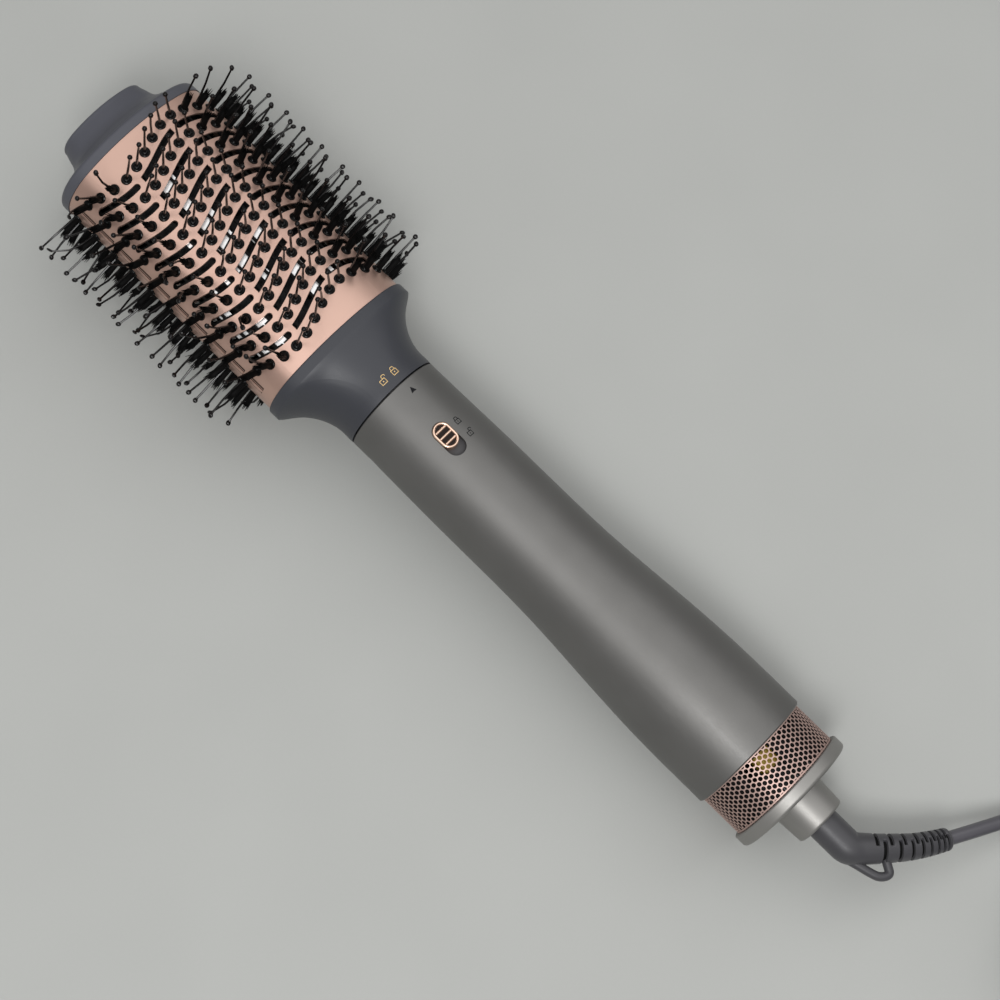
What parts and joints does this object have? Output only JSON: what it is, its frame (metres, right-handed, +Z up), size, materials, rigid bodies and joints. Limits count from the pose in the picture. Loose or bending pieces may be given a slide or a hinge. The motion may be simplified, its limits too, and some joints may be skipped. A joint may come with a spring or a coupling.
{
  "type": "hair dryer brush",
  "caption": "Hot-air styling brush: oval vented barrel with ball-tip pins and bristle tufts, detachable head, round grip with button, tail dial, air intake grille and mains cord with plug.",
  "frame": {"origin": "on the table, under the middle of the brush's box without its free cord", "axes": "+X along the brush from the head towards the tail, +Z up, +Y to the side that the cord leaves by; the brush lies on its lower pin tips and the rim of its dial, so its own axis falls 3.59 degrees towards the tail"},
  "size_m": [0.532, 0.1325, 0.081],
  "materials": {
    "slate_plastic": "satin",
    "gunmetal_paint": "satin",
    "rose_gold": "glossy",
    "rose_gold_trim": "satin",
    "grille_copper": "satin",
    "pin_black": "glossy",
    "tuft_black": "satin",
    "bright_guide": "polished",
    "dark_nylon": "satin",
    "duct_nylon": "satin",
    "fan_nylon": "satin",
    "seal_rubber": "matte",
    "mica": "satin",
    "heater_wire": "satin",
    "steel": "satin",
    "fuse_shell": "polished",
    "wiper_brass": "satin",
    "board_green": "satin",
    "capacitor_yellow": "glossy",
    "diode_black": "glossy",
    "relief_rubber": "matte",
    "cord_jacket": "matte",
    "plug_plastic": "satin",
    "plug_brass": "polished"
  },
  "bodies": {
    "handle": {"handle_sleeve": "gunmetal_paint", "spigot": "dark_nylon", "spigot_seal": "seal_rubber", "outlet_guard": "dark_nylon", "duct_right": "duct_nylon", "duct_left": "duct_nylon", "mica_liner": "mica", "mica_board_upright": "mica", "mica_board_cross": "mica", "heater_coil": "heater_wire", "thermostat": "steel", "thermal_fuse": "fuse_shell", "motor": "steel", "motor_damper": "seal_rubber", "guide_vanes": "dark_nylon", "inlet_ring": "dark_nylon", "detent_leaf": "steel", "intake_grille": "grille_copper", "tail_frame": "dark_nylon", "detent_ball": "steel", "detent_spring": "steel", "board_screws": "steel", "circuit_board": "board_green", "filter_capacitor": "capacitor_yellow", "rectifier_diodes": "diode_black", "tail_boss": "gunmetal_paint", "boss_nut": "steel", "strain_relief": "relief_rubber", "cord": "cord_jacket", "cord_coil": "cord_jacket", "cord_lead": "cord_jacket", "cord_tie": "plug_plastic", "plug_body": "plug_plastic", "plug_pins": "plug_brass"},
    "bayonet": {"bayonet_ring": "dark_nylon"},
    "head": {"barrel": "rose_gold", "front_pins": "pin_black", "back_pins": "pin_black", "left_bristles": "tuft_black", "right_bristles": "tuft_black", "end_cap": "slate_plastic", "neck_collar": "slate_plastic", "air_guide": "bright_guide", "core_spine": "dark_nylon", "barrel_end_plate": "dark_nylon", "head_screws": "steel", "bayonet_socket": "dark_nylon"},
    "release": {"release_button": "rose_gold_trim", "release_latch": "dark_nylon"},
    "dial": {"selector_dial": "gunmetal_paint", "dial_clip": "steel", "switch_wiper": "wiper_brass"},
    "rotor": {"motor_shaft": "steel", "fan_impeller": "fan_nylon"}
  },
  "joints": [
    {"name": "head_twist", "type": "hinge", "parent": "handle", "child": "bayonet", "pos_m": [-0.04832, 0, 0.03563], "axis": [-0.998, 0, 0.0626], "range_deg": [0, 16]},
    {"name": "head_pull", "type": "slide", "parent": "bayonet", "child": "head", "axis": [-0.998, 0, 0.0626], "range_m": [0, 0.03]},
    {"name": "release_slide", "type": "slide", "parent": "handle", "child": "release", "axis": [0.998, 0, -0.0626], "range_m": [0, 0.0033]},
    {"name": "dial_turn", "type": "hinge", "parent": "handle", "child": "dial", "pos_m": [0.13931, 0, 0.02387], "axis": [0.998, 0, -0.0626], "range_deg": [0, 90]},
    {"name": "fan_spin", "type": "hinge", "parent": "handle", "child": "rotor", "pos_m": [0.09141, 0, 0.02687], "axis": [0.998, 0, -0.0626], "continuous": true}
  ]
}
